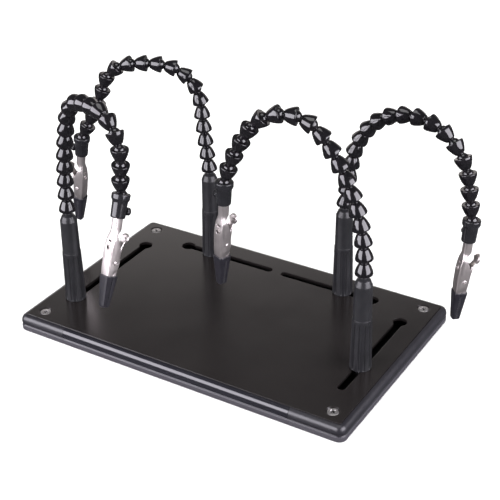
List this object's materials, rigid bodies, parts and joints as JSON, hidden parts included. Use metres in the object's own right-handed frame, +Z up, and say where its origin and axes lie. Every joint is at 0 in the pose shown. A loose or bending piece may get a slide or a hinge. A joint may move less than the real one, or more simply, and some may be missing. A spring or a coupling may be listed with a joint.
{
  "type": "helping hands clamp",
  "caption": "Soldering station: a heavy rectangular base with keyhole slots, sliding posts, jointed bead arms and sprung alligator clips with rubber boots.",
  "frame": {"origin": "middle of the base, on the plane that its rubber feet stand on", "axes": "+Z up; +X to the right along the long side, seen from the front; +Y to the back, where the two back slots are"},
  "size_m": [0.323, 0.1882, 0.1964],
  "materials": {
    "plate_paint": "satin black powder coat on steel",
    "frame_black": "semi-gloss black moulded plastic",
    "steel": "bright plated steel",
    "foot_rubber": "matte black rubber",
    "post_black": "satin black moulded plastic",
    "bead_black": "glossy black moulded plastic",
    "clip_nickel": "nickel-plated bent sheet steel",
    "boot_rubber": "matte black soft rubber"
  },
  "bodies": {
    "base": {"base_plate": "plate_paint", "left_end_frame": "frame_black", "right_end_frame": "frame_black", "front_rail": "frame_black", "back_rail": "frame_black", "plate_screws": "steel", "bottom_cover": "frame_black", "rubber_feet": "foot_rubber"},
    "left_foot": {"left_stud": "steel"},
    "left_column": {"left_post": "post_black"},
    "left_riser": {"left_riser_beads": "bead_black"},
    "left_arch": {"left_arch_beads": "bead_black"},
    "left_drop": {"left_drop_beads": "bead_black"},
    "left_clip": {"left_ferrule": "post_black", "left_thumb_screw": "post_black", "left_clip_jaw": "clip_nickel", "left_clip_pin": "steel", "left_clip_spring": "steel", "left_jaw_boot": "boot_rubber"},
    "left_jaw": {"left_clip_lever": "clip_nickel", "left_lever_boot": "boot_rubber"},
    "back_left_foot": {"back_left_stud": "steel"},
    "back_left_column": {"back_left_post": "post_black"},
    "back_left_riser": {"back_left_riser_beads": "bead_black"},
    "back_left_arch": {"back_left_arch_beads": "bead_black"},
    "back_left_drop": {"back_left_drop_beads": "bead_black"},
    "back_left_clip": {"back_left_ferrule": "post_black", "back_left_thumb_screw": "post_black", "back_left_clip_jaw": "clip_nickel", "back_left_clip_pin": "steel", "back_left_clip_spring": "steel", "back_left_jaw_boot": "boot_rubber"},
    "back_left_jaw": {"back_left_clip_lever": "clip_nickel", "back_left_lever_boot": "boot_rubber"},
    "right_foot": {"right_stud": "steel"},
    "right_column": {"right_post": "post_black"},
    "right_riser": {"right_riser_beads": "bead_black"},
    "right_arch": {"right_arch_beads": "bead_black"},
    "right_drop": {"right_drop_beads": "bead_black"},
    "right_clip": {"right_ferrule": "post_black", "right_thumb_screw": "post_black", "right_clip_jaw": "clip_nickel", "right_clip_pin": "steel", "right_clip_spring": "steel", "right_jaw_boot": "boot_rubber"},
    "right_jaw": {"right_clip_lever": "clip_nickel", "right_lever_boot": "boot_rubber"},
    "back_right_foot": {"back_right_stud": "steel"},
    "back_right_column": {"back_right_post": "post_black"},
    "back_right_riser": {"back_right_riser_beads": "bead_black"},
    "back_right_arch": {"back_right_arch_beads": "bead_black"},
    "back_right_drop": {"back_right_drop_beads": "bead_black"},
    "back_right_clip": {"back_right_ferrule": "post_black", "back_right_thumb_screw": "post_black", "back_right_clip_jaw": "clip_nickel", "back_right_clip_pin": "steel", "back_right_clip_spring": "steel", "back_right_jaw_boot": "boot_rubber"},
    "back_right_jaw": {"back_right_clip_lever": "clip_nickel", "back_right_lever_boot": "boot_rubber"}
  },
  "joints": [
    {"name": "left_slide", "type": "slide", "parent": "base", "child": "left_foot", "axis": [0, 1, 0], "range_m": [-0.001, 0.07]},
    {"name": "left_turn", "type": "hinge", "parent": "left_foot", "child": "left_column", "pos_m": [-0.11, -0.043, 0.0128], "axis": [0, 0, 1], "range_deg": [-90, 90]},
    {"name": "left_lean", "type": "hinge", "parent": "left_column", "child": "left_riser", "pos_m": [-0.11, -0.043, 0.086], "axis": [0.3907, 0.9205, 0], "range_deg": [-31, 29]},
    {"name": "left_swing", "type": "hinge", "parent": "left_riser", "child": "left_arch", "pos_m": [-0.09798, -0.0481, 0.16004], "axis": [-0.8301, 0.3524, 0.4321], "range_deg": [-25, 25]},
    {"name": "left_reach", "type": "hinge", "parent": "left_arch", "child": "left_drop", "pos_m": [-0.0556, -0.06609, 0.18134], "axis": [-0.3907, -0.9205, 0], "range_deg": [-12, 46]},
    {"name": "left_swivel", "type": "hinge", "parent": "left_drop", "child": "left_clip", "pos_m": [-0.03603, -0.0744, 0.13014], "axis": [0.0131, -0.3744, -0.9272], "continuous": true},
    {"name": "left_jaw_open", "type": "hinge", "parent": "left_clip", "child": "left_jaw", "pos_m": [-0.03528, -0.09052, 0.08866], "axis": [0.9605, -0.2532, 0.1158], "range_deg": [0, 15], "stiffness_Nm_per_rad": 0.1, "springref_deg": -28.65},
    {"name": "back_left_slide", "type": "slide", "parent": "base", "child": "back_left_foot", "axis": [1, 0, 0], "range_m": [-0.022, 0.05]},
    {"name": "back_left_turn", "type": "hinge", "parent": "back_left_foot", "child": "back_left_column", "pos_m": [-0.058, 0.061, 0.0128], "axis": [0, 0, 1], "range_deg": [-90, 35]},
    {"name": "back_left_lean", "type": "hinge", "parent": "back_left_column", "child": "back_left_riser", "pos_m": [-0.058, 0.061, 0.086], "axis": [0.4226, -0.9063, 0], "range_deg": [-34, 14]},
    {"name": "back_left_swing", "type": "hinge", "parent": "back_left_riser", "child": "back_left_arch", "pos_m": [-0.07066, 0.0551, 0.15894], "axis": [0.6318, 0.2946, 0.7169], "range_deg": [-20, 20]},
    {"name": "back_left_reach", "type": "hinge", "parent": "back_left_arch", "child": "back_left_drop", "pos_m": [-0.11713, 0.03343, 0.16428], "axis": [-0.4226, 0.9063, 0], "range_deg": [-3, 55]},
    {"name": "back_left_swivel", "type": "hinge", "parent": "back_left_drop", "child": "back_left_clip", "pos_m": [-0.14459, 0.02062, 0.10782], "axis": [-0.1677, 0.0449, -0.9848], "continuous": true},
    {"name": "back_left_jaw_open", "type": "hinge", "parent": "back_left_clip", "child": "back_left_jaw", "pos_m": [-0.15264, 0.02256, 0.06409], "axis": [-0.0993, 0.9931, 0.0622], "range_deg": [0, 15], "stiffness_Nm_per_rad": 0.1, "springref_deg": -28.65},
    {"name": "right_slide", "type": "slide", "parent": "base", "child": "right_foot", "axis": [0, 1, 0], "range_m": [-0.027, 0.06]},
    {"name": "right_turn", "type": "hinge", "parent": "right_foot", "child": "right_column", "pos_m": [0.11, -0.017, 0.0128], "axis": [0, 0, 1], "range_deg": [-50, 90]},
    {"name": "right_lean", "type": "hinge", "parent": "right_column", "child": "right_riser", "pos_m": [0.11, -0.017, 0.086], "axis": [0.2924, -0.9563, 0], "range_deg": [-31, 26]},
    {"name": "right_swing", "type": "hinge", "parent": "right_riser", "child": "right_arch", "pos_m": [0.0939, -0.02192, 0.15895], "axis": [0.8521, 0.2605, 0.454], "range_deg": [-28, 28]},
    {"name": "right_reach", "type": "hinge", "parent": "right_arch", "child": "right_drop", "pos_m": [0.0566, -0.03333, 0.19042], "axis": [-0.2924, 0.9563, 0], "range_deg": [-7, 50]},
    {"name": "right_swivel", "type": "hinge", "parent": "right_drop", "child": "right_clip", "pos_m": [0.02281, -0.04366, 0.13998], "axis": [-0.0503, -0.0144, -0.9986], "continuous": true},
    {"name": "right_jaw_open", "type": "hinge", "parent": "right_clip", "child": "right_jaw", "pos_m": [0.02076, -0.04373, 0.09553], "axis": [0.9444, -0.3259, -0.0429], "range_deg": [0, 15], "stiffness_Nm_per_rad": 0.1, "springref_deg": -28.65},
    {"name": "back_right_slide", "type": "slide", "parent": "base", "child": "back_right_foot", "axis": [1, 0, 0], "range_m": [-0.048, 0.024]},
    {"name": "back_right_turn", "type": "hinge", "parent": "back_right_foot", "child": "back_right_column", "pos_m": [0.056, 0.061, 0.0128], "axis": [0, 0, 1], "range_deg": [-30, 90]},
    {"name": "back_right_lean", "type": "hinge", "parent": "back_right_column", "child": "back_right_riser", "pos_m": [0.056, 0.061, 0.086], "axis": [0.1392, 0.9903, 0], "range_deg": [-36, 12]},
    {"name": "back_right_swing", "type": "hinge", "parent": "back_right_riser", "child": "back_right_arch", "pos_m": [0.07997, 0.05763, 0.15551], "axis": [-0.6365, 0.0895, 0.766], "range_deg": [-25, 25]},
    {"name": "back_right_reach", "type": "hinge", "parent": "back_right_arch", "child": "back_right_drop", "pos_m": [0.13022, 0.05057, 0.16197], "axis": [-0.1392, -0.9903, 0], "range_deg": [-14, 44]},
    {"name": "back_right_swivel", "type": "hinge", "parent": "back_right_drop", "child": "back_right_clip", "pos_m": [0.15568, 0.04699, 0.1056], "axis": [-0.0616, -0.0616, -0.9962], "continuous": true},
    {"name": "back_right_jaw_open", "type": "hinge", "parent": "back_right_clip", "child": "back_right_jaw", "pos_m": [0.15337, 0.04466, 0.06122], "axis": [0.6947, -0.7193, 0.0015], "range_deg": [0, 15], "stiffness_Nm_per_rad": 0.1, "springref_deg": -28.65}
  ]
}
